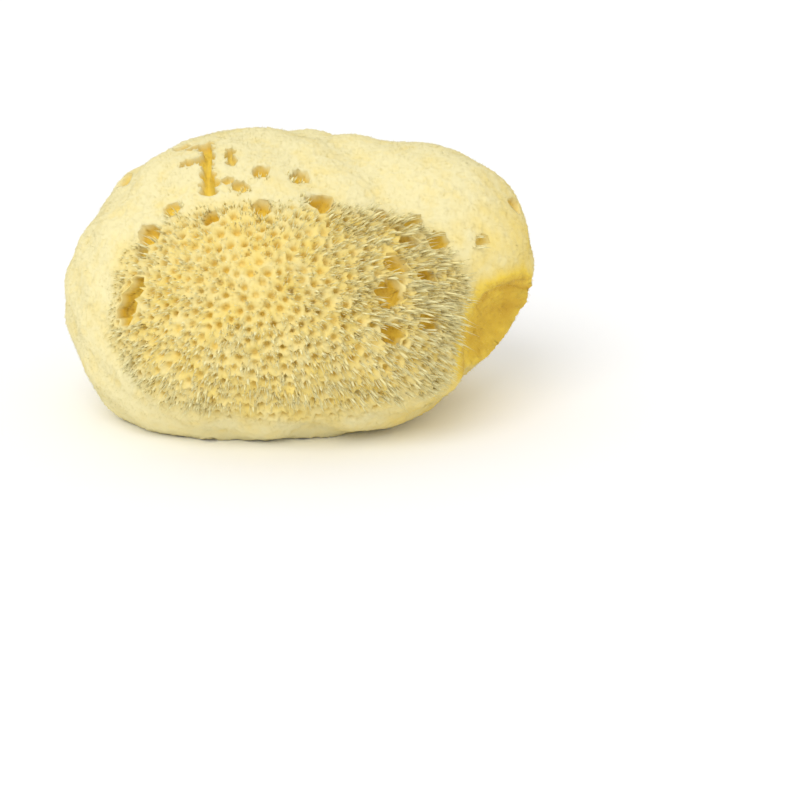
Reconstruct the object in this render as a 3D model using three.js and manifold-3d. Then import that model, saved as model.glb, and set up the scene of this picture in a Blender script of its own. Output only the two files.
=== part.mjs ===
// A dried silk bath sponge, cut flat where it grew on rock and resting on the cut.
// Millimetres, +Z up, +X across the wide side, -Y towards the side with the large openings.
// The origin is in the middle of the cut.
import * as THREE from 'three';
import Module from 'manifold-3d';
import { ConvexHull } from 'three/addons/math/ConvexHull.js';
import { mergeVertices } from 'three/addons/utils/BufferGeometryUtils.js';

// The grown form is the blend of these rounded lobes: centre, then half width, depth and height.
// The fibre points reach it, and the skin between them lies a little lower.
const LOBES = {
  body: [[-7.5, 0, 21], [37.5, 27, 29]],
  shoulder: [[-10, 8, 29.5], [27, 23, 22.5]],
  right: [[24.3, 6, 27], [21, 20, 22.5]],
  crown: [[8, 9, 31.5], [24, 19, 18]],
  heel: [[-20, -7, 11], [18, 16, 13]],
  belly: [[-3, -8, 20], [29, 23, 20]],
  lip: [[15, -9, 17], [17, 19, 16]],
};
const LOBE_BLEND = 8;
const HOLLOW = [[43, -12, 17], [12.5, 17, 11]];
const HOLLOW_EDGE = 1;
const SKIN_SINK = 0.8;
// Gentle lumps: their height, and two crossing waves in radians per millimetre with their starts.
const SWELL = {
  height: 0.5,
  level: { x: 0.42, y: 0.37, startX: 0.6, startY: 1.1 },
  upright: { x: 0.29, y: 0.31, z: 0.33, lean: 0.4 },
};
const CENTRE = new THREE.Vector3(0, 0, 24);
const FURTHEST_REACH = 90;
const HALVINGS = 30;

// The front is described as it is seen from 20 degrees above the level.
const FRONT_TILT = THREE.MathUtils.degToRad(20);
const FRONT_UP = new THREE.Vector3(0, Math.sin(FRONT_TILT), Math.cos(FRONT_TILT));
const FRONT_OUT = new THREE.Vector3(0, -Math.cos(FRONT_TILT), Math.sin(FRONT_TILT));
const FRONT_START = 60;
const FRONT_STEP = 0.25;

// The two fields of open pores: middle across, middle height, half width and half height.
const FRONT_FIELD = { across: 0, up: 17.5, wide: 31, high: 19.5, pore: 1.15 };
const BACK_FIELD = { across: 3, up: 22, wide: 27, high: 19, pore: 1.3 };
const FIELD_EDGE = { inner: 0.85, outer: 1.1 };
const HALF_OPEN = 0.5;
const NAP_PORE = 1.55;
const BURIED_PORE = 5;
const BURIED_BELOW = -2;

// Large openings on the front: across, up, radius. Those that share a name run into a slit.
const FRONT_OPENINGS = [
  [-29.6, 22.3, 1.7, 'left slit'],
  [-31, 19.2, 2, 'left slit'],
  [-32.4, 16, 1.7, 'left slit'],
  [-27, 31.6, 2.4],
  [-28.3, 28, 1.1],
  [-24, 36.6, 1.2],
  [-16, 34.5, 1.7],
  [-18.5, 47.6, 1.1, 'upper slit'],
  [-18.4, 44.8, 1.4, 'upper slit'],
  [-18.3, 41.8, 1.3, 'upper slit'],
  [-21.3, 46, 1, 'upper slit'],
  [-13.3, 47.2, 1.2],
  [-6.8, 43.5, 2],
  [-10.8, 41, 1.4],
  [0.5, 43, 1.7],
  [4.7, 37.6, 2.8],
  [-6.8, 36.4, 2],
  [15.6, 35.1, 1.9],
  [22, 34, 1.4],
  [20.6, 30.2, 2],
  [26.4, 30.2, 1.9],
  [18.2, 26, 2.2],
  [24.9, 24.1, 2],
  [17.4, 20.6, 3],
  [24.4, 15.5, 2.4],
  [18, 13, 2.4],
  [35.2, 31.1, 1.1],
];
// Large openings elsewhere: degrees round from the front towards +X, degrees up, radius.
const OTHER_OPENINGS = [
  [20, 70, 1.8], [200, 60, 1.6], [120, 62, 1.9], [300, 66, 1.3], [255, 48, 1.5],
  [165, 25, 2.6], [188, 12, 2.1], [204, 30, 1.8], [178, 40, 1.5], [150, 5, 1.9],
  [222, 12, 2.3], [212, -8, 1.7], [172, -8, 2], [190, -12, 1.3], [138, 22, 1.6],
  [285, 10, 1.6], [260, 30, 1.4], [265, -10, 1.9], [240, 2, 2.1], [245, -18, 1.4],
  [95, 20, 1.7], [80, 35, 1.3], [110, 0, 2], [100, -15, 1.5], [125, -12, 1.7],
];
// Canals that the flat cut runs across: x, y, radius.
const CUT_CANALS = [
  [-14, -7, 1.9], [3, 5, 2.2], [17, -4, 1.7], [-25, 4, 1.5], [6, -14, 1.4], [-7, 14, 1.6], [22, 7, 1.3],
];
const CANAL_DEPTH = 9;
const CANAL_SIDES = 9;

// Pits and the fibre points between them.
const FIELD_PIT_DEPTH = 1.8;
const NAP_PIT_DEPTH = 0.6;
const OPENING_DEPTH = 2.3;
const OPENING_FLOOR = 0.68;
const FIELD_LIFT = { least: 0.6, most: 1.3 };
const NAP_LIFT = { least: 0.3, most: 0.9 };
const SLIT_WALL_DEPTH = 2.2;
const GROWTH_SEED = 7;
const TRIES = 40000;
const PACKING = 0.97;
const CUT_BLOCK = { side: 200, height: 80 };

const SPONGIN = { color: 0xe3ca7e, roughness: 0.95, metalness: 0, flatShading: true };

// Repeatable chance, so that the sponge grows the same way each time.
function makeChance(seed) {
  let state = seed;
  return () => {
    state = (state + 0x6d2b79f5) | 0;
    let mixed = Math.imul(state ^ (state >>> 15), 1 | state);
    mixed = (mixed + Math.imul(mixed ^ (mixed >>> 7), 61 | mixed)) ^ mixed;
    return ((mixed ^ (mixed >>> 14)) >>> 0) / 4294967296;
  };
}

// How far a point lies outside a rounded lobe, negative inside it.
function lobeDistance(point, [centre, half]) {
  const x = point.x - centre[0];
  const y = point.y - centre[1];
  const z = point.z - centre[2];
  const near = Math.hypot(x / half[0], y / half[1], z / half[2]);
  const slope = Math.hypot(x / half[0] ** 2, y / half[1] ** 2, z / half[2] ** 2);
  return (near * (near - 1)) / Math.max(slope, 1e-9);
}

function blend(first, second, width) {
  const share = THREE.MathUtils.clamp(0.5 + (0.5 * (second - first)) / width, 0, 1);
  return second * (1 - share) + first * share - width * share * (1 - share);
}

// The height of the gentle lumps at a point.
function swell({ x, y, z }) {
  const { level, upright } = SWELL;
  const across = Math.sin(level.x * x + level.startX) * Math.sin(level.y * y + level.startY);
  const rising = Math.sin(upright.z * z + upright.x * x) * Math.sin(upright.y * y - upright.lean * z);
  return SWELL.height * (across + rising);
}

function skinDistance(point) {
  const grown = Object.values(LOBES)
    .map((lobe) => lobeDistance(point, lobe))
    .reduce((joined, distance) => blend(joined, distance, LOBE_BLEND));
  return -blend(-grown, lobeDistance(point, HOLLOW), HOLLOW_EDGE);
}

// The point of the skin in a direction from the centre, lifted or sunk along that direction.
function skinPoint(direction, lift = 0) {
  let inside = 0;
  let outside = FURTHEST_REACH;
  for (let step = 0; step < HALVINGS; step += 1) {
    const middle = (inside + outside) / 2;
    const point = direction.clone().multiplyScalar(middle).add(CENTRE);
    if (skinDistance(point) < 0) inside = middle;
    else outside = middle;
  }
  const skin = direction.clone().multiplyScalar(inside).add(CENTRE);
  return skin.addScaledVector(direction, swell(skin) - SKIN_SINK + lift);
}

// The point of the skin that is seen from the front at a place across and up.
function frontPoint(across, up) {
  const point = new THREE.Vector3(across, 0, 0);
  point.addScaledVector(FRONT_UP, up).addScaledVector(FRONT_OUT, FRONT_START);
  while (skinDistance(point) > 0) point.addScaledVector(FRONT_OUT, -FRONT_STEP);
  return point;
}

function directionTo(point) {
  return point.clone().sub(CENTRE).normalize();
}

// One in the middle of a pore field and zero outside it.
function fieldShare(point, field, side) {
  if (point.dot(FRONT_OUT) * side < 0) return 0;
  const up = side > 0 ? point.dot(FRONT_UP) : point.z;
  const reach = Math.hypot((point.x - field.across) / field.wide, (up - field.up) / field.high);
  return 1 - THREE.MathUtils.smoothstep(reach, FIELD_EDGE.inner, FIELD_EDGE.outer);
}

function openShare(point) {
  return Math.max(fieldShare(point, FRONT_FIELD, 1), fieldShare(point, BACK_FIELD, -1));
}

function poreRadius(point) {
  if (point.z < BURIED_BELOW) return BURIED_PORE;
  if (fieldShare(point, FRONT_FIELD, 1) > HALF_OPEN) return FRONT_FIELD.pore;
  if (fieldShare(point, BACK_FIELD, -1) > HALF_OPEN) return BACK_FIELD.pore;
  return NAP_PORE;
}

function makeOpening(point, radius, name) {
  return { point, direction: directionTo(point), radius, name, depth: radius * OPENING_DEPTH, opening: true };
}

function placeOpenings() {
  const front = FRONT_OPENINGS.map(([across, up, radius, name]) =>
    makeOpening(frontPoint(across, up), radius, name));
  const others = OTHER_OPENINGS.map(([round, up, radius]) => {
    const level = THREE.MathUtils.degToRad(round);
    const rise = THREE.MathUtils.degToRad(up);
    const direction = new THREE.Vector3(
      Math.sin(level) * Math.cos(rise), -Math.cos(level) * Math.cos(rise), Math.sin(rise));
    return makeOpening(skinPoint(direction), radius);
  });
  return [...front, ...others];
}

// Pores crowd the skin as closely as their walls allow.
function placePores(chance) {
  const pores = placeOpenings();
  for (let attempt = 0; attempt < TRIES; attempt += 1) {
    const rise = 2 * chance() - 1;
    const round = 2 * Math.PI * chance();
    const level = Math.sqrt(1 - rise * rise);
    const direction = new THREE.Vector3(Math.cos(round) * level, Math.sin(round) * level, rise);
    const point = skinPoint(direction);
    const radius = poreRadius(point);
    const free = pores.every((pore) => pore.point.distanceTo(point) > (pore.radius + radius) * PACKING);
    if (free) {
      const depth = THREE.MathUtils.lerp(NAP_PIT_DEPTH, FIELD_PIT_DEPTH, openShare(point));
      pores.push({ point, direction, radius, depth: radius === BURIED_PORE ? 0 : depth, opening: false });
    }
  }
  return pores;
}

// Where three pores meet, their walls rise to a fibre point, nearer to the smaller pores.
function wallPoint(pores, chance) {
  const direction = new THREE.Vector3();
  pores.forEach((pore) => direction.addScaledVector(pore.direction, 1 / pore.radius));
  direction.normalize();
  const names = pores.map((pore) => pore.name).filter(Boolean);
  const insideSlit = names.length > new Set(names).size;
  const share = openShare(skinPoint(direction));
  const least = THREE.MathUtils.lerp(NAP_LIFT.least, FIELD_LIFT.least, share);
  const most = THREE.MathUtils.lerp(NAP_LIFT.most, FIELD_LIFT.most, share);
  const lift = THREE.MathUtils.lerp(least, most, chance());
  return { direction, point: skinPoint(direction, insideSlit ? -SLIT_WALL_DEPTH : lift) };
}

// The closed skin: each pore is a pit fenced by the points around it, and a large opening has a floor.
function makeSkin(chance) {
  const pores = placePores(chance);
  const poreAt = new Map(pores.map((pore) => [pore.direction, pore]));
  const hull = new ConvexHull().setFromPoints(pores.map((pore) => pore.direction));
  const corners = new Map();
  hull.faces.forEach((face) => {
    const around = [0, 1, 2].map((index) => poreAt.get(face.getEdge(index).head().point));
    corners.set(face, wallPoint(around, chance));
  });
  const positions = [];
  const addTriangle = (...points) => points.forEach((point) => positions.push(point.x, point.y, point.z));
  const floorPoint = (pore, corner) => {
    const direction = pore.direction.clone().lerp(corner.direction, OPENING_FLOOR).normalize();
    return skinPoint(direction, -pore.depth);
  };
  hull.faces.forEach((face) => {
    [0, 1, 2].forEach((index) => {
      const edge = face.getEdge(index);
      const pore = poreAt.get(edge.tail().point);
      const left = corners.get(face);
      const right = corners.get(edge.twin.face);
      const bottom = skinPoint(pore.direction, -pore.depth);
      if (pore.opening) {
        const leftFloor = floorPoint(pore, left);
        const rightFloor = floorPoint(pore, right);
        addTriangle(right.point, left.point, leftFloor);
        addTriangle(right.point, leftFloor, rightFloor);
        addTriangle(rightFloor, leftFloor, bottom);
      } else {
        addTriangle(right.point, left.point, bottom);
      }
    });
  });
  const skin = new THREE.BufferGeometry();
  skin.setAttribute('position', new THREE.Float32BufferAttribute(positions, 3));
  return skin;
}

// Closed solids for joining and cutting.
const wasm = await Module();
wasm.setup();

function toSolid(geometry) {
  const bare = geometry.clone();
  bare.deleteAttribute('normal');
  bare.deleteAttribute('uv');
  const merged = mergeVertices(bare);
  return new wasm.Manifold(new wasm.Mesh({
    numProp: 3,
    vertProperties: new Float32Array(merged.attributes.position.array),
    triVerts: new Uint32Array(merged.index.array),
  }));
}

function toGeometry(solid) {
  const mesh = solid.getMesh();
  const geometry = new THREE.BufferGeometry();
  geometry.setAttribute('position', new THREE.BufferAttribute(mesh.vertProperties, 3));
  geometry.setIndex(new THREE.BufferAttribute(mesh.triVerts, 1));
  return geometry;
}

// The flat cut through the foot, with the canals that open on it.
function cutFoot(grown) {
  const block = new THREE.BoxGeometry(CUT_BLOCK.side, CUT_BLOCK.side, CUT_BLOCK.height);
  block.translate(0, 0, -CUT_BLOCK.height / 2);
  let solid = grown.subtract(toSolid(block));
  CUT_CANALS.forEach(([x, y, radius]) => {
    const canal = new THREE.CylinderGeometry(radius / 2, radius, 2 * CANAL_DEPTH, CANAL_SIDES);
    canal.rotateX(Math.PI / 2).translate(x, y, 0);
    solid = solid.subtract(toSolid(canal));
  });
  return solid;
}

function makeSponge() {
  const geometry = toGeometry(cutFoot(toSolid(makeSkin(makeChance(GROWTH_SEED)))));
  geometry.computeBoundingBox();
  const middle = geometry.boundingBox.getCenter(new THREE.Vector3());
  geometry.translate(-middle.x, -middle.y, 0);
  const sponge = new THREE.Mesh(geometry, new THREE.MeshStandardMaterial(SPONGIN));
  sponge.name = 'sponge';
  return sponge;
}

const part = new THREE.Group();
part.add(makeSponge());

export default part;
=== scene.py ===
"""A dried silk bath sponge on a pale floor: one grown body of spongin, with its tufts and its nap."""
import math

import bmesh
import bpy
import numpy as np
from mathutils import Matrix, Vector, kdtree


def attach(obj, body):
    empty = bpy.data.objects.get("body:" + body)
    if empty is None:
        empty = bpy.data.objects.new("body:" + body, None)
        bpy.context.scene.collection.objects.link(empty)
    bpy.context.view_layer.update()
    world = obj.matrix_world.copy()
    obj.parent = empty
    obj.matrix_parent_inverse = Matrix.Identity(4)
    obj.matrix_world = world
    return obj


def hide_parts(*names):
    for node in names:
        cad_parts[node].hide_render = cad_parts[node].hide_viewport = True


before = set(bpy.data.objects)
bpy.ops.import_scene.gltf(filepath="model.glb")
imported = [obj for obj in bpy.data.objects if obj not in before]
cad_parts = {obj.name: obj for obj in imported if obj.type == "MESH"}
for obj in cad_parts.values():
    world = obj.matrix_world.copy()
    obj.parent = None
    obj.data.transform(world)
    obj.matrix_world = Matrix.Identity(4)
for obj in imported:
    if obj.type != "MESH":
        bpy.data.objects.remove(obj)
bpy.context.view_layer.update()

# The view
# The photograph looks at the open side of the sponge from 20 degrees above the level, through a
# long lens, with the sponge above and left of the middle of the picture.
PHOTO_SIDE = 800
PHOTO_PIXELS_PER_METRE = 5210
SPONGE_IN_PHOTO = (300.5, 284.5)
FRONT_TILT = math.radians(20)
CAMERA_DISTANCE = 0.75
SENSOR_WIDTH = 36
FRONT_UP = Vector((0, math.sin(FRONT_TILT), math.cos(FRONT_TILT)))
FRONT_OUT = Vector((0, -math.cos(FRONT_TILT), math.sin(FRONT_TILT)))
SPONGE_MIDDLE_UP = 0.0231

camera = bpy.data.objects.new("camera", bpy.data.cameras.new("camera"))
bpy.context.collection.objects.link(camera)
bpy.context.scene.camera = camera
camera.data.sensor_width = SENSOR_WIDTH
camera.data.lens = SENSOR_WIDTH * CAMERA_DISTANCE * PHOTO_PIXELS_PER_METRE / PHOTO_SIDE
picture_right = (PHOTO_SIDE / 2 - SPONGE_IN_PHOTO[0]) / PHOTO_PIXELS_PER_METRE
picture_down = (PHOTO_SIDE / 2 - SPONGE_IN_PHOTO[1]) / PHOTO_PIXELS_PER_METRE
looked_at = Vector((picture_right, 0, 0)) + FRONT_UP * (SPONGE_MIDDLE_UP - picture_down)
camera.location = looked_at + FRONT_OUT * CAMERA_DISTANCE
camera.rotation_mode = "QUATERNION"
camera.rotation_quaternion = (-FRONT_OUT).to_track_quat("-Z", "Y")

# The grown form
# A bath sponge swells in rounded lobes as it grows. The real one is a single body; here its skin is
# the blend of seven lobes with one hollow at the right, cut flat at the foot. Millimetres.
MM = 0.001
LOBES = {
    "body": ((-7.5, 0, 21), (37.5, 27, 29)),
    "shoulder": ((-10, 8, 29.5), (27, 23, 22.5)),
    "right": ((24.3, 6, 27), (21, 20, 22.5)),
    "crown": ((8, 9, 31.5), (24, 19, 18)),
    "heel": ((-20, -7, 11), (18, 16, 13)),
    "belly": ((-3, -8, 20), (29, 23, 20)),
    "lip": ((15, -9, 17), (17, 19, 16)),
}
LOBE_BLEND = 8
HOLLOW = ((43, -12, 17), (12.5, 17, 11))
HOLLOW_EDGE = 1
SWELL_HEIGHT = 0.5
# Radians per millimetre along x and y with their starts, then along z and x and along y and z.
SWELL_ACROSS = (0.42, 0.6, 0.37, 1.1)
SWELL_RISING = (0.33, 0.29, 0.31, 0.4)
SKIN_SINK = 0.8
CENTRE = np.array((0.0, 0.0, 24.0))
FURTHEST_REACH = 90
HALVINGS = 26
FRONT_START = 60
FRONT_STEP = 0.25
NORMAL_STEP = 0.3
ON_CUT = 1e-3
ALMOST_LEVEL = 1e-6
TINY = 1e-9
DOWN = np.array((0.0, 0.0, -1.0))
UP_IN_VIEW = np.array(FRONT_UP)
OUT_OF_VIEW = np.array(FRONT_OUT)


def lobe_distance(points, lobe):
    """How far points lie outside a rounded lobe, negative inside it."""
    centre, half = np.array(lobe[0], float), np.array(lobe[1], float)
    offset = points - centre
    near = np.linalg.norm(offset / half, axis=-1)
    slope = np.linalg.norm(offset / half ** 2, axis=-1)
    return near * (near - 1) / np.maximum(slope, TINY)


def blend_forms(first, second, width):
    share = np.clip(0.5 + 0.5 * (second - first) / width, 0, 1)
    return second * (1 - share) + first * share - width * share * (1 - share)


def swell(points):
    """Gentle lumps all over, about 8 millimetres across."""
    x, y, z = points[..., 0], points[..., 1], points[..., 2]
    x_rate, x_start, y_rate, y_start = SWELL_ACROSS
    across = np.sin(x_rate * x + x_start) * np.sin(y_rate * y + y_start)
    z_rate, lean_rate, depth_rate, fall_rate = SWELL_RISING
    rising = np.sin(z_rate * z + lean_rate * x) * np.sin(depth_rate * y - fall_rate * z)
    return SWELL_HEIGHT * (across + rising)


def skin_distance(points):
    grown = None
    for lobe in LOBES.values():
        distance = lobe_distance(points, lobe)
        grown = distance if grown is None else blend_forms(grown, distance, LOBE_BLEND)
    return -blend_forms(-grown, lobe_distance(points, HOLLOW), HOLLOW_EDGE)


def skin_points(directions):
    """The skin in each direction from the centre, and flat where the foot is cut."""
    inside = np.zeros(len(directions))
    outside = np.full(len(directions), float(FURTHEST_REACH))
    for _ in range(HALVINGS):
        middle = (inside + outside) / 2
        within = skin_distance(CENTRE + directions * middle[:, None]) < 0
        inside = np.where(within, middle, inside)
        outside = np.where(within, outside, middle)
    skin = CENTRE + directions * inside[:, None]
    reach = inside + swell(skin) - SKIN_SINK
    fall = -directions[:, 2]
    to_cut = np.where(fall > ALMOST_LEVEL, CENTRE[2] / np.maximum(fall, ALMOST_LEVEL), np.inf)
    return CENTRE + directions * np.minimum(reach, to_cut)[:, None]


def skin_normals(points):
    """Outward at each skin point: the slope of the form, or straight down on the cut."""
    steps = np.eye(3) * NORMAL_STEP
    slopes = [skin_distance(points + step) - skin_distance(points - step) for step in steps]
    normals = np.stack(slopes, axis=-1)
    normals /= np.linalg.norm(normals, axis=-1)[:, None]
    normals[points[:, 2] < ON_CUT] = DOWN
    return normals


def front_point(across, up):
    """The skin point that the photograph shows at a place across and up."""
    point = np.array((across, 0.0, 0.0)) + UP_IN_VIEW * up + OUT_OF_VIEW * FRONT_START
    while skin_distance(point) > 0:
        point = point - OUT_OF_VIEW * FRONT_STEP
    return point


def unit(vectors):
    return vectors / np.maximum(np.linalg.norm(vectors, axis=-1, keepdims=True), TINY)


# The pores
# Water was drawn in through fine pores and left through large openings. The open side has round
# pores about 2 mm apart inside a ring of openings, and the rest of the skin has small shallow pits.

# Middle, half width and half height of each field of pores, in millimetres.
FRONT_FIELD = dict(across=-1.5, up=17, wide=33, high=20.5)
BACK_FIELD = dict(across=3, up=22, wide=27, high=19)
FIELD_FULLNESS = 2.5
FIELD_FADE_FROM, FIELD_FADE = 0.85, 0.25
HOLLOW_BARE, HOLLOW_BARE_FADE = 2, 1.5
HALF_OPEN = 0.5
FIELD_PORE, NAP_PORE = 0.95, 0.9
CUT_PORE_LEAST, CUT_PORE_MOST = 0.9, 2.0
PORE_SEED = 11
PORE_TRIES = 90000
PACKING = 0.97
# Across, up and radius, as the photograph shows them.
FRONT_OPENINGS = [
    (-27, 31.6, 2.2), (-28.3, 28, 1.1), (-24, 36.6, 1.1), (-16, 34.5, 1.6), (-13.3, 42.2, 1),
    (-6.8, 43.5, 1.7), (-10.8, 41, 1.3), (0.5, 43, 1.5), (4.7, 37.6, 2.5), (-6.8, 36.4, 1.6),
    (15.6, 35.1, 1.7), (22, 34, 1.3), (20.6, 30.2, 1.8), (26.4, 30.2, 1.6), (18.2, 26, 1.9),
    (24.9, 24.1, 1.8), (17.4, 20.6, 2.6), (24.4, 15.5, 2.1), (18, 13, 2.1), (35.2, 31.1, 1),
]
# Each slit is one or more lines of (across, up), and half the width along each of them.
FRONT_SLITS = [
    [([(-29.2, 23), (-30.2, 20.8)], 1.1), ([(-31, 18.6), (-32.4, 15.8)], 1.8)],
    [([(-17, 40.2), (-17.1, 44.6), (-17.5, 49.6)], 1.3), ([(-18.6, 45.8), (-21.8, 45.6)], 1.1),
     ([(-18.6, 49.3), (-20.5, 49)], 1.0)],
    [([(-13.2, 48), (-12.6, 46.4)], 0.9)],
]
SLIT_SAMPLES = 60
SLIT_SPACING = 1.3
# Degrees round from the front towards +X, degrees up, and radius.
OTHER_OPENINGS = [
    (200, 60, 1.6), (255, 48, 1.5),
    (165, 25, 2.6), (188, 12, 2.1), (204, 30, 1.8), (178, 40, 1.5), (150, 5, 1.9),
    (222, 12, 2.3), (212, -8, 1.7), (172, -8, 2), (190, -12, 1.3), (138, 22, 1.6),
    (260, 30, 1.4), (265, -10, 1.9), (240, 2, 2.1), (245, -18, 1.4),
    (95, 20, 1.7), (110, 0, 2), (100, -15, 1.5), (125, -12, 1.7),
]


def field_share(points, field, side):
    """One in the middle of a pore field, and zero outside it and in the hollow."""
    up = points @ UP_IN_VIEW if side > 0 else points[:, 2]
    aside = abs(points[:, 0] - field["across"]) / field["wide"]
    above = abs(up - field["up"]) / field["high"]
    reach = (aside ** FIELD_FULLNESS + above ** FIELD_FULLNESS) ** (1 / FIELD_FULLNESS)
    share = 1 - np.clip((reach - FIELD_FADE_FROM) / FIELD_FADE, 0, 1)
    share = share * share * (3 - 2 * share)
    share = share * np.clip((lobe_distance(points, HOLLOW) - HOLLOW_BARE) / HOLLOW_BARE_FADE, 0, 1)
    return np.where(points @ OUT_OF_VIEW * side < 0, 0, share)


def open_share(points):
    """How open the skin is, over both of the pore fields."""
    return np.maximum(field_share(points, FRONT_FIELD, 1), field_share(points, BACK_FIELD, -1))


def trace_slits():
    """Pores in a row along each slit, so close that their cells touch."""
    points, radii, slits = [], [], []
    for slit, lines in enumerate(FRONT_SLITS):
        for bends, half_width in lines:
            for place in np.linspace(0, len(bends) - 1, SLIT_SAMPLES):
                across, up = (np.interp(place, range(len(bends)), axis) for axis in zip(*bends))
                point = skin_points(unit(front_point(across, up) - CENTRE)[None])[0]
                if all(np.linalg.norm(point - other) > SLIT_SPACING * half_width for other in points):
                    points.append(point)
                    radii.append(half_width)
                    slits.append(slit)
    return np.array(points), np.array(radii), np.array(slits)


slit_points, slit_radii, slit_numbers = trace_slits()
slit_count = len(slit_points)


def place_pores():
    """Pores crowd the skin as closely as their walls allow, round the openings that are given."""
    chance = np.random.default_rng(PORE_SEED)
    front = [unit(front_point(across, up) - CENTRE) for across, up, _ in FRONT_OPENINGS]
    rounds = np.radians([(turn, rise) for turn, rise, _ in OTHER_OPENINGS])
    others = np.stack([np.sin(rounds[:, 0]) * np.cos(rounds[:, 1]),
                       -np.cos(rounds[:, 0]) * np.cos(rounds[:, 1]), np.sin(rounds[:, 1])], axis=-1)
    directions = np.concatenate([unit(slit_points - CENTRE), front, others,
                                 unit(chance.normal(size=(PORE_TRIES, 3)))])
    points = skin_points(directions)
    given = slit_count + len(front) + len(others)
    on_cut = points[:, 2] < ON_CUT
    radii = np.where(open_share(points) > HALF_OPEN, FIELD_PORE, NAP_PORE)
    radii = np.where(on_cut, chance.uniform(CUT_PORE_LEAST, CUT_PORE_MOST, len(points)), radii)
    radii[:slit_count] = slit_radii
    radii[slit_count:given] = [entry[2] for entry in FRONT_OPENINGS + OTHER_OPENINGS]
    kept = list(range(given))
    taken_points, taken_radii = np.zeros_like(points), np.zeros_like(radii)
    taken_points[:given], taken_radii[:given] = points[:given], radii[:given]
    for index in range(given, len(points)):
        count = len(kept)
        gaps = np.linalg.norm(taken_points[:count] - points[index], axis=1)
        if (gaps > (taken_radii[:count] + radii[index]) * PACKING).all():
            taken_points[count], taken_radii[count] = points[index], radii[index]
            kept.append(index)
    return directions[kept], points[kept], radii[kept], slit_count + len(front), given


pore_directions, pore_points, pore_radii, front_count, opening_count = place_pores()

# The body
# One springy mass of spongin. Each pore is a cell fenced by a low wall, and where three walls meet
# the skin stands up in a point. Painted shade deepens the colour inside the pores, in the hollow,
# on the right side and over the open fields.

# How far in each ring lies, how round it is, and how deep in millimetres or in opening sizes.
FIELD_RINGS = ((0.8, 0.1, 0.08), (0.55, 0.4, 0.25), (0.38, 0.7, 0.6), (0.3, 0.9, 1.1),
               (0.16, 1.0, 1.25))
NAP_RINGS = ((0.55, 0.7, 0.16),)
CUT_RINGS = ((0.8, 0.6, 0.1), (0.62, 0.9, 1.1))
OPENING_RINGS = ((0.96, 0.05, 0.08), (0.88, 0.15, 0.3), (0.8, 0.3, 0.6), (0.68, 0.45, 0.9),
                 (0.42, 0.7, 1.05))
OPENING_DEPTH = 1.5
# How far in and how deep each step into a slit goes, in half widths.
SLIT_STEPS = ((0.08, 0.2), (0.1, 0.5), (0.1, 0.6), (0.12, 0.5))
SLIT_MOST = 1.3
UNEVEN = 0.25
RING_WANDER = 0.12
WIDTHS, DEPTHS = (0.82, 1.08), (0.6, 1.2)
DEEPEST = 2.2
BODY_SEED = 5
# The fibres between the pores gather into points that lie outwards, longest to the right.
COMB_CENTRE = (-8, 26)
COMB_REACH = 30
BACK_RIGHTWARD = 0.3
TUFT_LENGTH, TUFT_LENGTH_EDGE, TUFT_LENGTH_RIGHT = 0.8, 1.9, 3.4
TUFT_LENGTH_SPREAD = (0.6, 1.35)
OPEN_TO_LENGTH, LEAST_LENGTH = 1.4, 0.5
TUFT_LEAN, TUFT_LEAN_EDGE = 0.1, 1.5
BEND_LEAN = 0.5
TUFT_STRAY = 0.2
PEAK_SHARE, PEAK_MOST, SADDLE_SHARE = 0.6, 0.95, 0.3
PEAK_PALE = -0.3
# Painted shade over the open fields, among the crowded pores.
OPEN_FIELD_SHADE = 0.35
# Painted shade in the hollow, which faces away from the light.
HOLLOW_SHADE, HOLLOW_SHADE_NEAR, HOLLOW_SHADE_FADE = 0.85, 0.5, 5
# Painted shade on the right side, away from the light.
RIGHT_SIDE_SHADE, RIGHT_SIDE_SHADE_RISE, RIGHT_SIDE_SHADE_FROM, RIGHT_SIDE_SHADE_FADE = 0.45, 0.6, 2, 26
NAP_POINT, NAP_POINT_ABOVE = 0.3, 0.5


def fence_pores():
    """Turns the hull over the pores into cells, and returns it with each cell's pore on its face."""
    cells = bmesh.new()
    owner = cells.faces.layers.int.new("pore")
    sunk = cells.verts.layers.float.new("sunk")
    for direction in pore_directions:
        cells.verts.new(direction)
    bmesh.ops.convex_hull(cells, input=cells.verts[:], use_existing_faces=False)
    bmesh.ops.recalc_face_normals(cells, faces=cells.faces[:])
    for vert, place in zip(cells.verts, pore_points):
        vert.co = place
    bmesh.ops.beautify_fill(cells, faces=cells.faces[:], edges=cells.edges[:], method="AREA")
    bmesh.ops.bisect_edges(cells, edges=cells.edges[:], cuts=1)
    cells.verts.index_update()
    walls = [vert for vert in cells.verts if vert.index >= len(pore_directions)]
    wall_pores = [[edge.other_vert(wall).index for edge in wall.link_edges] for wall in walls]
    corners = bmesh.ops.poke(cells, faces=cells.faces[:])["verts"]
    cells.verts.index_update()
    corner_pores = []
    for corner in corners:
        around = [edge.other_vert(corner).index for edge in corner.link_edges]
        corner_pores.append([index for index in around if index < len(pore_directions)])
    for face in cells.faces:
        face[owner] = min(vert.index for vert in face.verts)
    return cells, owner, sunk, walls, np.array(wall_pores), corners, np.array(corner_pores)


def between_pores(groups, chance):
    """Directions between pores, nearer to the smaller ones and a little uneven."""
    weights = chance.uniform(1 - UNEVEN, 1 + UNEVEN, groups.shape) / pore_radii[groups]
    return unit((pore_directions[groups] * weights[..., None]).sum(axis=1))


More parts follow.
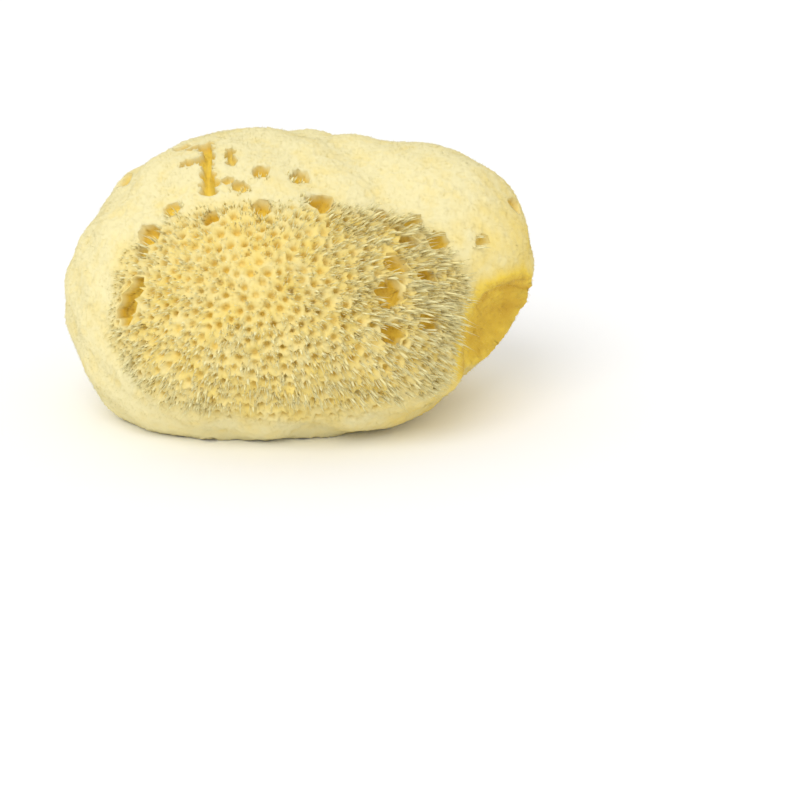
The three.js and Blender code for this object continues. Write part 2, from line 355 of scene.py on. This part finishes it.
def comb(points, normals):
    """The way that fibres lie, outwards over the skin from the middle of the nearest pore field.

    Also how near they are to its edge, and how far to its right."""
    front = points @ OUT_OF_VIEW > 0
    across = points[:, 0] - np.where(front, COMB_CENTRE[0], BACK_FIELD["across"])
    up = np.where(front, points @ UP_IN_VIEW - COMB_CENTRE[1], points[:, 2] - BACK_FIELD["up"])
    rising = np.where(front[:, None], UP_IN_VIEW, (0.0, 0.0, 1.0))
    outward = across[:, None] * np.array((1.0, 0.0, 0.0)) + up[:, None] * rising
    flat = outward - (outward * normals).sum(axis=1, keepdims=True) * normals
    reach = np.hypot(across, up)
    rightward = np.where(front, np.clip(across / np.maximum(reach, TINY), 0, 1), BACK_RIGHTWARD)
    return unit(flat), np.clip(reach / COMB_REACH, 0, 1), rightward


def tuft_reach(places, chance):
    """The way and the length of the tuft that stands at each place, and how open the skin is there."""
    normals = skin_normals(places)
    outward, edge, rightward = comb(places, normals)
    share = open_share(places)
    edge_length = TUFT_LENGTH_EDGE + (TUFT_LENGTH_RIGHT - TUFT_LENGTH_EDGE) * rightward ** 2
    length = TUFT_LENGTH + (edge_length - TUFT_LENGTH) * edge
    fullness = np.clip(share * OPEN_TO_LENGTH, LEAST_LENGTH, 1)
    length *= chance.uniform(*TUFT_LENGTH_SPREAD, len(places)) * fullness
    lean = (TUFT_LEAN + (TUFT_LEAN_EDGE - TUFT_LEAN) * edge)[:, None]
    stray = chance.normal(scale=TUFT_STRAY, size=(len(places), 3))
    ways = unit(normals + outward * lean + stray)
    bends = unit(normals + outward * lean * BEND_LEAN + stray)
    return normals, outward, ways, bends, length, share


def painted_shade_share(places):
    """Painted shade: how much the colour deepens over the open fields, in the hollow and to the right.
    """
    from_hollow = lobe_distance(places, HOLLOW) - HOLLOW_SHADE_NEAR
    in_hollow = 1 - np.clip(from_hollow / HOLLOW_SHADE_FADE, 0, 1)
    past_middle = places[:, 0] - places[:, 2] * RIGHT_SIDE_SHADE_RISE - RIGHT_SIDE_SHADE_FROM
    to_right = np.clip(past_middle / RIGHT_SIDE_SHADE_FADE, 0, 1)
    painted_shade = np.maximum(OPEN_FIELD_SHADE * open_share(places), HOLLOW_SHADE * in_hollow)
    return np.maximum(painted_shade, RIGHT_SIDE_SHADE * to_right)


def sink_slits(cells, owner, sunk):
    """Lets the cells along each slit run together, and sinks what they make step by step."""
    for slit in range(len(FRONT_SLITS)):
        members = set(np.flatnonzero(slit_numbers == slit))
        faces = [face for face in cells.faces if face[owner] in members]
        joined = bmesh.ops.dissolve_faces(cells, faces=faces, use_verts=True)["region"]
        half_width = slit_radii[slit_numbers == slit].mean()
        depth = 0
        for inwards, down in SLIT_STEPS:
            bmesh.ops.inset_individual(cells, faces=joined, thickness=inwards * half_width,
                                       depth=-down * half_width, use_even_offset=False)
            depth += down * half_width
            for vert in {vert for face in joined for vert in face.verts}:
                vert[sunk] = min(depth / DEEPEST, SLIT_MOST)


def sink_cells(cells, owner, sunk, faces, rings, facings, widths, depths, chance):
    """Carries the faces of like cells inwards and down, ring by ring."""
    fences = {}
    for face in faces:
        cell = face[owner]
        offsets = np.array([vert.co for vert in face.verts]) - pore_points[cell]
        heights = offsets @ facings[cell]
        flat = offsets - heights[:, None] * facings[cell]
        fences[cell] = (flat, heights, np.linalg.norm(flat, axis=1))
    for inner, roundness, sink in rings:
        faces = bmesh.ops.extrude_discrete_faces(cells, faces=faces)["faces"]
        for face in faces:
            cell = face[owner]
            flat, heights, reaches = fences[cell]
            depth = sink * depths[cell]
            scale = inner * widths[cell] * ((1 - roundness) + roundness * reaches.mean() / reaches)
            scale = scale * chance.uniform(1 - RING_WANDER, 1 + RING_WANDER, len(reaches))
            rise = heights * (1 - roundness) - depth
            places = pore_points[cell] + flat * scale[:, None] + rise[:, None] * facings[cell]
            places[:, 2] = np.maximum(places[:, 2], 0)
            for vert, place in zip(face.verts, places):
                vert.co = place
                vert[sunk] = min(depth / DEEPEST, 1)


def grow_body():
    """The body, and the places of the points and walls between its pores, with those pores."""
    chance = np.random.default_rng(BODY_SEED)
    cells, owner, sunk, walls, wall_pores, corners, corner_pores = fence_pores()
    saddles = skin_points(between_pores(wall_pores, chance))
    _, _, ways, _, length, share = tuft_reach(saddles, chance)
    height = np.minimum(length * PEAK_SHARE, PEAK_MOST) * share * SADDLE_SHARE
    ridges = saddles + ways * height[:, None]
    ridges[:, 2] = np.maximum(ridges[:, 2], 0)
    for vert, place in zip(walls, ridges):
        vert.co = place
    corner_places = skin_points(between_pores(corner_pores, chance))
    _, _, ways, _, length, share = tuft_reach(corner_places, chance)
    height = np.minimum(length * PEAK_SHARE, PEAK_MOST) * share
    above_cut = corner_places[:, 2] > NAP_POINT_ABOVE
    height += NAP_POINT * chance.random(len(corners)) * (1 - share) * above_cut
    peaks = corner_places + ways * height[:, None]
    peaks[:, 2] = np.maximum(peaks[:, 2], 0)
    for vert, place, openness in zip(corners, peaks, share):
        vert.co = place
        vert[sunk] = PEAK_PALE * openness
    pore_verts = [vert for vert in cells.verts if vert.index < len(pore_directions)]
    bmesh.ops.delete(cells, geom=[vert for vert in pore_verts if not vert.link_faces], context="VERTS")
    bmesh.ops.dissolve_verts(cells, verts=[vert for vert in pore_verts if vert.is_valid])
    facings = skin_normals(pore_points)
    on_cut = pore_points[:, 2] < ON_CUT
    in_field = open_share(pore_points) > HALF_OPEN
    given = np.arange(len(pore_points)) < opening_count
    in_slit = np.arange(len(pore_points)) < slit_count
    kinds = ((OPENING_RINGS, given & ~in_slit), (CUT_RINGS, on_cut & ~given),
             (FIELD_RINGS, in_field & ~on_cut & ~given), (NAP_RINGS, ~in_field & ~on_cut & ~given))
    widths = chance.uniform(*WIDTHS, len(pore_points))
    widths[given] = 1
    depths = chance.uniform(*DEPTHS, len(pore_points))
    depths[given] = pore_radii[given] * OPENING_DEPTH
    sorted_faces = [(rings, [face for face in cells.faces if belongs[face[owner]]])
                    for rings, belongs in kinds]
    for rings, faces in sorted_faces:
        sink_cells(cells, owner, sunk, faces, rings, facings, widths, depths, chance)
    sink_slits(cells, owner, sunk)
    bmesh.ops.scale(cells, vec=(MM, MM, MM), verts=cells.verts[:])
    mesh = bpy.data.meshes.new("sponge_body")
    cells.to_mesh(mesh)
    cells.free()
    mesh.shade_smooth()
    # The painted shade of the open fields, the hollow and the right side, stored on each point.
    places = np.empty(len(mesh.vertices) * 3)
    mesh.vertices.foreach_get("co", places)
    painted_shade = painted_shade_share(places.reshape(-1, 3) / MM).astype(np.float32)
    mesh.attributes.new("painted_shade", "FLOAT", "POINT").data.foreach_set("value", painted_shade)
    body = bpy.data.objects.new("sponge_body", mesh)
    bpy.context.collection.objects.link(body)
    return body, corner_places, corner_pores, saddles, wall_pores


body, corner_places, corner_pores, saddle_places, saddle_pores = grow_body()

# From pale skin to gold; the last and darkest stop is painted shade, for the pits and the hollow.
SKIN_COLOUR, SKIN_TIP_COLOUR = (0.86, 0.77, 0.43, 1), (0.98, 0.91, 0.50, 1)
GOLD_COLOUR, GOLD_TIP_COLOUR = (0.88, 0.64, 0.09, 1), (0.97, 0.79, 0.28, 1)
PAINTED_SHADE_COLOUR = (0.68, 0.44, 0.06, 1)
GOLD_FROM = 0.7
# How much painted shade the depth inside a pore adds to the colour.
PIT_PAINTED_SHADE = 0.75
MOTTLES_PER_METRE, MOTTLE_DETAIL = 240, 4
MOTTLE_LOW, MOTTLE_HIGH = 0.3, 0.7
MOTTLE_SHIFT = 0.15
DRY_ROUGHNESS, DRY_SHEEN = 0.9, 0.15
GRAINS_PER_METRE, GRAIN_DETAIL = 2600, 3
GRAIN_STRENGTH, GRAIN_HEIGHT = 0.5, 0.0001


def make_shade():
    """Spongin's colour: paler on skin and fibre tips, darker gold with painted shade, softly mottled.
    """
    group = bpy.data.node_groups.new("spongin_shade", "ShaderNodeTree")
    group.interface.new_socket("Gold_and_shade", in_out="INPUT", socket_type="NodeSocketFloat")
    group.interface.new_socket("Tip", in_out="INPUT", socket_type="NodeSocketFloat")
    group.interface.new_socket("Color", in_out="OUTPUT", socket_type="NodeSocketColor")
    nodes, links = group.nodes, group.links
    given = nodes.new("NodeGroupInput")
    made = nodes.new("NodeGroupOutput")
    place = nodes.new("ShaderNodeTexCoord")
    mottle = nodes.new("ShaderNodeTexNoise")
    mottle.inputs["Scale"].default_value = MOTTLES_PER_METRE
    mottle.inputs["Detail"].default_value = MOTTLE_DETAIL
    links.new(place.outputs["Object"], mottle.inputs["Vector"])
    shift = nodes.new("ShaderNodeMapRange")
    shift.inputs["From Min"].default_value = MOTTLE_LOW
    shift.inputs["From Max"].default_value = MOTTLE_HIGH
    shift.inputs["To Min"].default_value = -MOTTLE_SHIFT
    shift.inputs["To Max"].default_value = MOTTLE_SHIFT
    links.new(mottle.outputs["Fac"], shift.inputs["Value"])
    gold_and_shade = nodes.new("ShaderNodeMath")
    gold_and_shade.operation = "ADD"
    gold_and_shade.use_clamp = True
    links.new(given.outputs["Gold_and_shade"], gold_and_shade.inputs[0])
    links.new(shift.outputs["Result"], gold_and_shade.inputs[1])
    root = nodes.new("ShaderNodeValToRGB")
    root.color_ramp.elements[0].color = SKIN_COLOUR
    root.color_ramp.elements[1].color = GOLD_COLOUR
    root.color_ramp.elements[1].position = GOLD_FROM
    root.color_ramp.elements.new(1).color = PAINTED_SHADE_COLOUR
    tip = nodes.new("ShaderNodeValToRGB")
    tip.color_ramp.elements[0].color = SKIN_TIP_COLOUR
    tip.color_ramp.elements[1].color = GOLD_TIP_COLOUR
    links.new(gold_and_shade.outputs["Value"], root.inputs["Fac"])
    links.new(gold_and_shade.outputs["Value"], tip.inputs["Fac"])
    blend = nodes.new("ShaderNodeMix")
    blend.data_type = "RGBA"
    # The colours of a mix node go in at its sockets 6 and 7, and come out at 2.
    links.new(given.outputs["Tip"], blend.inputs[0])
    links.new(root.outputs["Color"], blend.inputs[6])
    links.new(tip.outputs["Color"], blend.inputs[7])
    links.new(blend.outputs[2], made.inputs["Color"])
    return group


def make_spongin():
    material = bpy.data.materials.new("spongin")
    material.use_nodes = True
    nodes, links = material.node_tree.nodes, material.node_tree.links
    shader = nodes["Principled BSDF"]
    shader.inputs["Roughness"].default_value = DRY_ROUGHNESS
    shader.inputs["Specular IOR Level"].default_value = DRY_SHEEN
    # Painted shade: the colour darkens with depth in the pores, or with the painted shade stored on
    # the points, whichever is more.
    depth = nodes.new("ShaderNodeAttribute")
    depth.attribute_name = "sunk"
    pit_shade = nodes.new("ShaderNodeMath")
    pit_shade.operation = "MULTIPLY"
    pit_shade.inputs[1].default_value = PIT_PAINTED_SHADE
    links.new(depth.outputs["Fac"], pit_shade.inputs[0])
    painted_shade = nodes.new("ShaderNodeAttribute")
    painted_shade.attribute_name = "painted_shade"
    gold_and_shade = nodes.new("ShaderNodeMath")
    gold_and_shade.operation = "MAXIMUM"
    links.new(pit_shade.outputs["Value"], gold_and_shade.inputs[0])
    links.new(painted_shade.outputs["Fac"], gold_and_shade.inputs[1])
    shade = nodes.new("ShaderNodeGroup")
    shade.node_tree = spongin_shade
    shade.inputs["Tip"].default_value = 0
    links.new(gold_and_shade.outputs["Value"], shade.inputs["Gold_and_shade"])
    links.new(shade.outputs["Color"], shader.inputs["Base Color"])
    grain = nodes.new("ShaderNodeTexNoise")
    grain.inputs["Scale"].default_value = GRAINS_PER_METRE
    grain.inputs["Detail"].default_value = GRAIN_DETAIL
    place = nodes.new("ShaderNodeTexCoord")
    links.new(place.outputs["Object"], grain.inputs["Vector"])
    bump = nodes.new("ShaderNodeBump")
    bump.inputs["Strength"].default_value = GRAIN_STRENGTH
    bump.inputs["Distance"].default_value = GRAIN_HEIGHT
    links.new(grain.outputs["Fac"], bump.inputs["Height"])
    links.new(bump.outputs["Normal"], shader.inputs["Normal"])
    return material


spongin_shade = make_shade()
body.data.materials.append(make_spongin())
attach(body, "root")
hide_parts("sponge")

# The tufts
# On the open side the spongin fibres gather into frayed tufts that stand between the pores. They
# are short in the middle, hang like shingles below it, and lie long and combed towards the right.
TUFT_SEED = 21
TUFT_SHARE, WALL_TUFT_SHARE, WALL_TUFT_LENGTH = 0.9, 0.5, 0.6
FRINGE_GROWTH, FRINGE_SHARE, FRINGE_FACING = 0.4, 0.8, 0.2
LEAST_OPEN, LOWEST_ROOT = 0.3, 1.5
BEND_ALONG = 0.55
TUFT_ROOT, CORE_REACH, TUFT_TONES = (0.26, 0.38), 0.8, (0.6, 1)
TUFT_SIDES, TUFT_STEPS = 5, 3
STRANDS = 4
STRAND_ROOT = (0.11, 0.18)
STRAND_REACH = (0.6, 1.25)
STRAND_SPREAD = 0.3
STRAND_SPLAY = 0.12
STRAND_SIDES, STRAND_STEPS = 3, 2
STRAND_TONE, TONE_PER_TUFT, TONE_PER_STRAND = 0.5, 0.2, 0.3
ROOT_SINK = 0.3
FLATNESS = 0.5
LOWEST_TUFT = -0.45
CLEAR_OF_FOOT = 0.3
BROAD_SIDE = np.array((0.0, -0.2, 0.4))
FACE_OUT = 1.2
TAPER, PALING = 0.5, 0.6


def grow_fibres(name, roots, bends, tips, radii, sides, steps, tones, facing):
    """One mesh of tapering fibres, each a closed spike from its root over its bend to its tip."""
    count = len(roots)
    way = unit(tips - roots)
    aside = unit(np.cross(facing + BROAD_SIDE, way))
    over = np.cross(way, aside)
    per_fibre = steps * sides + 1
    places = np.empty((count, per_fibre, 3))
    tipward = np.empty((count, per_fibre))
    for step in range(steps):
        along = step / steps
        line = roots * (1 - along) ** 2 + bends * 2 * along * (1 - along) + tips * along ** 2
        girth = radii * (1 - along) ** TAPER
        for side in range(sides):
            turn = math.pi * (0.5 + (2 * side - 1) / sides)
            reach = aside * math.cos(turn) + over * math.sin(turn) * FLATNESS
            places[:, step * sides + side] = line + reach * girth[:, None]
            tipward[:, step * sides + side] = along ** PALING
    places[:, -1] = tips
    tipward[:, -1] = 1
    faces = [list(range(sides))[::-1]]
    for step in range(steps - 1):
        low, high = step * sides, (step + 1) * sides
        faces += [[low + side, low + (side + 1) % sides, high + (side + 1) % sides, high + side]
                  for side in range(sides)]
    last = (steps - 1) * sides
    faces += [[last + side, last + (side + 1) % sides, steps * sides] for side in range(sides)]
    corners = np.concatenate([np.array(face) for face in faces])
    sizes = np.array([len(face) for face in faces])
    loops = (corners[None, :] + np.arange(count)[:, None] * per_fibre).ravel()
    starts = np.concatenate([[0], np.cumsum(np.tile(sizes, count))[:-1]])
    mesh = bpy.data.meshes.new(name)
    mesh.vertices.add(count * per_fibre)
    mesh.vertices.foreach_set("co", (places * MM).astype(np.float32).ravel())
    mesh.loops.add(len(loops))
    mesh.loops.foreach_set("vertex_index", loops.astype(np.int32))
    mesh.polygons.add(len(starts))
    mesh.polygons.foreach_set("loop_start", starts.astype(np.int32))
    mesh.update(calc_edges=True)
    for attribute, values in (("tipward", tipward), ("tone_and_shade", np.repeat(tones, per_fibre))):
        layer = mesh.attributes.new(attribute, "FLOAT", "POINT")
        layer.data.foreach_set("value", values.astype(np.float32).ravel())
    if sides > 3:
        mesh.shade_smooth()
    fibres = bpy.data.objects.new(name, mesh)
    bpy.context.collection.objects.link(fibres)
    return fibres


def fringe_share(places, pores, outward):
    """One beside an opening, on the side nearest to the middle of the field, and zero elsewhere."""
    beside = (pores >= slit_count) & (pores < front_count)
    opening = pores[np.arange(len(places)), beside.argmax(axis=1)]
    towards = unit(pore_points[opening] - places)
    facing = (towards * outward).sum(axis=1) > FRINGE_FACING
    return np.where(beside.any(axis=1) & facing, 1.0, 0.0)


def root_tufts(places, pores, tuft_share, chance):
    """Where tufts stand, which way they face and point, where they bend, and how long they are."""
    normals, outward, ways, bends, length, share = tuft_reach(places, chance)
    fringe = fringe_share(places, pores, outward)
    share = np.maximum(share, FRINGE_SHARE * fringe)
    chosen = (share > LEAST_OPEN) & (chance.random(len(share)) < tuft_share)
    chosen &= places[:, 2] > LOWEST_ROOT
    chosen &= (pores >= slit_count).all(axis=1) & (normals[:, 2] > LOWEST_TUFT)
    length *= 1 + FRINGE_GROWTH * fringe
    roots, normals, ways, length = places[chosen], normals[chosen], ways[chosen], length[chosen]
    return roots, normals, ways, roots + bends[chosen] * length[:, None] * BEND_ALONG, length


def grow_strands(name, roots, normals, ways, bends, length, chance):
    """Loose strands that spread out of each tuft."""
    count = len(roots)
    spread = chance.normal(scale=1, size=(count, STRANDS, 3))
    reach = chance.uniform(*STRAND_REACH, (count, STRANDS, 1)) * length[:, None, None]
    splay = STRAND_SPREAD + STRAND_SPLAY * length[:, None, None]
    strand_roots = (roots - normals * ROOT_SINK)[:, None] + spread * STRAND_SPREAD
    strand_bends = bends[:, None] + spread * STRAND_SPREAD
    strand_tips = roots[:, None] + ways[:, None] * reach + spread * splay
    for ends in (strand_roots, strand_bends, strand_tips):
        ends[..., 2] = np.maximum(ends[..., 2], CLEAR_OF_FOOT)
    tones = STRAND_TONE + chance.random((count, 1)) * TONE_PER_TUFT
    tones = (tones + chance.random((count, STRANDS)) * TONE_PER_STRAND).ravel()
    radii = chance.uniform(*STRAND_ROOT, count * STRANDS)
    facing = np.repeat(unit(normals * FACE_OUT + ways), STRANDS, axis=0)
    return grow_fibres(name, strand_roots.reshape(-1, 3), strand_bends.reshape(-1, 3),
                       strand_tips.reshape(-1, 3), radii, STRAND_SIDES, STRAND_STEPS, tones, facing)


def grow_tufts():
    """The core of each tuft, its strands, and the sparser strands along the walls."""
    chance = np.random.default_rng(TUFT_SEED)
    roots, normals, ways, bends, length = root_tufts(corner_places, corner_pores, TUFT_SHARE, chance)
    tips = roots + ways * length[:, None] * CORE_REACH
    tips[:, 2] = np.maximum(tips[:, 2], CLEAR_OF_FOOT)
    radii = chance.uniform(*TUFT_ROOT, len(roots))
    tones = chance.uniform(*TUFT_TONES, len(roots))
    cores = grow_fibres("tufts", roots - normals * ROOT_SINK, bends, tips, radii,
                        TUFT_SIDES, TUFT_STEPS, tones, unit(normals * FACE_OUT + ways))
    strands = grow_strands("tuft_strands", roots, normals, ways, bends, length, chance)
    low = root_tufts(saddle_places, saddle_pores, WALL_TUFT_SHARE, chance)
    wall_strands = grow_strands("wall_strands", *low[:4], low[4] * WALL_TUFT_LENGTH, chance)
    return cores, strands, wall_strands


TIP_PALE = 0.9
LIGHT_THROUGH = 0.1
FIBRE_ROUGHNESS = 0.8


def make_fibre_finish():
    material = bpy.data.materials.new("spongin_fibre")
    material.use_nodes = True
    nodes, links = material.node_tree.nodes, material.node_tree.links
    shader = nodes["Principled BSDF"]
    shader.inputs["Roughness"].default_value = FIBRE_ROUGHNESS
    shader.inputs["Specular IOR Level"].default_value = DRY_SHEEN
    tipward = nodes.new("ShaderNodeAttribute")
    tipward.attribute_name = "tipward"
    tone_and_shade = nodes.new("ShaderNodeAttribute")
    tone_and_shade.attribute_name = "tone_and_shade"
    gold_and_shade = nodes.new("ShaderNodeMath")
    gold_and_shade.operation = "SUBTRACT"
    gold_and_shade.inputs[0].default_value = TIP_PALE
    links.new(tone_and_shade.outputs["Fac"], gold_and_shade.inputs[1])
    shade = nodes.new("ShaderNodeGroup")
    shade.node_tree = spongin_shade
    links.new(gold_and_shade.outputs["Value"], shade.inputs["Gold_and_shade"])
    links.new(tipward.outputs["Fac"], shade.inputs["Tip"])
    links.new(shade.outputs["Color"], shader.inputs["Base Color"])
    through = nodes.new("ShaderNodeBsdfTranslucent")
    links.new(shade.outputs["Color"], through.inputs["Color"])
    blend = nodes.new("ShaderNodeMixShader")
    blend.inputs["Fac"].default_value = LIGHT_THROUGH
    links.new(shader.outputs["BSDF"], blend.inputs[1])
    links.new(through.outputs["BSDF"], blend.inputs[2])
    links.new(blend.outputs["Shader"], nodes["Material Output"].inputs["Surface"])
    return material


fibre_finish = make_fibre_finish()
for piece in grow_tufts():
    piece.data.materials.append(fibre_finish)
    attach(piece, "root")

# The nap
# The skin is a velvet of fine fibre ends that stand nearly upright. Inside the pores they are
# fewer and shorter, and painted darker gold as shade.
NAP_SEED = 33
NAP_PER_MM2, NAP_IN_PORES = 8, 0.25
NAP_LENGTH = (0.22, 0.4)
NAP_LONG_SHARE, NAP_LONG = 0.06, 2.4
NAP_ROOT, NAP_SINK = 0.034, 0.08
NAP_LEAN, NAP_STRAY = 0.45, 0.2
NAP_GATHER, FIELD_GATHER = 0.15, 0.6
NAP_DEEP, NAP_DEEP_LENGTH = 0.2, 0.6
NAP_FOOT_FADE, NAP_FOOT_LEAST = 6, 0.35
NAP_CLEAR = 0.05
# The nap's own tones, and how much painted shade darkens it deep in the pores.
NAP_TONES, NAP_PIT_SHADE = (0.75, 1), 0.6
NAP_SIDES, NAP_STEPS = 3, 1
NAP_PIECES = 3


def sample_skin(chance):
    """Places spread evenly over the body's faces, fewer in the pores, with normals and depths."""
    mesh = body.data
    mesh.calc_loop_triangles()
    triangles = np.empty(len(mesh.loop_triangles) * 3, np.int32)
    mesh.loop_triangles.foreach_get("vertices", triangles)
    triangles = triangles.reshape(-1, 3)
    places, normals = np.empty((2, len(mesh.vertices) * 3))
    mesh.vertices.foreach_get("co", places)
    mesh.vertices.foreach_get("normal", normals)
    places, normals = places.reshape(-1, 3) / MM, normals.reshape(-1, 3)
    sunk = np.empty(len(mesh.vertices), np.float32)
    mesh.attributes["sunk"].data.foreach_get("value", sunk)
    ends = places[triangles]
    areas = np.linalg.norm(np.cross(ends[:, 1] - ends[:, 0], ends[:, 2] - ends[:, 0]), axis=1) / 2
    depth = sunk[triangles].mean(axis=1)
    wanted = NAP_PER_MM2 * np.where(depth < NAP_DEEP, 1.0, NAP_IN_PORES)
    wanted = np.where(ends[:, :, 2].max(axis=1) < NAP_CLEAR, 0, wanted)
    weights = areas * wanted
    count = int(weights.sum())
    picked = chance.choice(len(triangles), size=count, p=weights / weights.sum())
    first, second = chance.random((2, count))
    flip = first + second > 1
    first, second = np.where(flip, 1 - first, first), np.where(flip, 1 - second, second)
    mix = np.stack([1 - first - second, first, second], axis=1)
    spots = (ends[picked] * mix[..., None]).sum(axis=1)
    ways = unit((normals[triangles[picked]] * mix[..., None]).sum(axis=1))
    return spots, ways, depth[picked]


def grow_nap():
    """Short fibres over the skin, gathered a little towards the points, in pieces round the body."""
    chance = np.random.default_rng(NAP_SEED)
    roots, ways, depth = sample_skin(chance)
    finder = kdtree.KDTree(len(corner_places))
    for index, place in enumerate(corner_places):
        finder.insert(place, index)
    finder.balance()
    nearest = np.array([finder.find(root)[1] for root in roots])
    normals = skin_normals(roots)
    ways = unit(ways + normals)
    outward = comb(roots, normals)[0]
    foot = np.clip(roots[:, 2] / NAP_FOOT_FADE, NAP_FOOT_LEAST, 1)
    length = chance.uniform(*NAP_LENGTH, len(roots)) * foot
    length *= np.where(depth < NAP_DEEP, 1, NAP_DEEP_LENGTH)
    length *= np.where(chance.random(len(roots)) < NAP_LONG_SHARE, NAP_LONG, 1)
    pull = NAP_GATHER + (FIELD_GATHER - NAP_GATHER) * open_share(roots)
    gather = (corner_places[nearest] - roots) * pull[:, None]
    stray = chance.normal(scale=NAP_STRAY, size=roots.shape)
    tips = roots + unit(ways + outward * NAP_LEAN + stray) * length[:, None] + gather
    tips[:, 2] = np.maximum(tips[:, 2], NAP_CLEAR)
    tones = chance.uniform(*NAP_TONES, len(corner_places))[nearest]
    # Painted shade: nap in the pores, the hollow, on the right and over the open fields is darker
    # gold.
    tones = tones - painted_shade_share(roots) - depth * NAP_PIT_SHADE
    order = np.argsort(np.arctan2(roots[:, 1], roots[:, 0]), kind="stable")
    pieces = []
    for number, part in enumerate(np.array_split(order, NAP_PIECES), start=1):
        sunk_roots = roots[part] - ways[part] * NAP_SINK
        radii = np.full(len(part), NAP_ROOT)
        pieces.append(grow_fibres(f"nap_{number}", sunk_roots, roots[part], tips[part], radii,
                                  NAP_SIDES, NAP_STEPS, tones[part], ways[part]))
    return pieces


for piece in grow_nap():
    piece.data.materials.append(fibre_finish)
    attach(piece, "root")

# The floor and the light
# A white sweep under an even white surround. A broad soft light comes from in front, high and a
# little to the left.
FLOOR_HALF = 3
FLOOR_WHITE, FLOOR_ROUGHNESS = (0.97, 0.97, 0.97, 1), 0.9
SURROUND_STRENGTH = 0.84
KEY_STRENGTH = 1.1
KEY_SPREAD = math.radians(40)
KEY_WAY = Vector((0.3, 0.62, -0.8))

floor_mesh = bpy.data.meshes.new("floor")
floor_form = bmesh.new()
bmesh.ops.create_grid(floor_form, x_segments=1, y_segments=1, size=FLOOR_HALF)
floor_form.to_mesh(floor_mesh)
floor_form.free()
floor = bpy.data.objects.new("floor", floor_mesh)
bpy.context.collection.objects.link(floor)
floor_paint = bpy.data.materials.new("white_sweep")
floor_paint.use_nodes = True
floor_shader = floor_paint.node_tree.nodes["Principled BSDF"]
floor_shader.inputs["Base Color"].default_value = FLOOR_WHITE
floor_shader.inputs["Roughness"].default_value = FLOOR_ROUGHNESS
floor_mesh.materials.append(floor_paint)

world = bpy.data.worlds.new("white_surround")
bpy.context.scene.world = world
world.use_nodes = True
surround = world.node_tree.nodes["Background"]
surround.inputs["Color"].default_value = (1, 1, 1, 1)
surround.inputs["Strength"].default_value = SURROUND_STRENGTH

key = bpy.data.lights.new("key", "SUN")
key.energy = KEY_STRENGTH
key.angle = KEY_SPREAD
key_holder = bpy.data.objects.new("key", key)
key_holder.rotation_euler = KEY_WAY.to_track_quat("-Z", "Y").to_euler()
bpy.context.collection.objects.link(key_holder)
bpy.context.scene.view_settings.view_transform = "Standard"
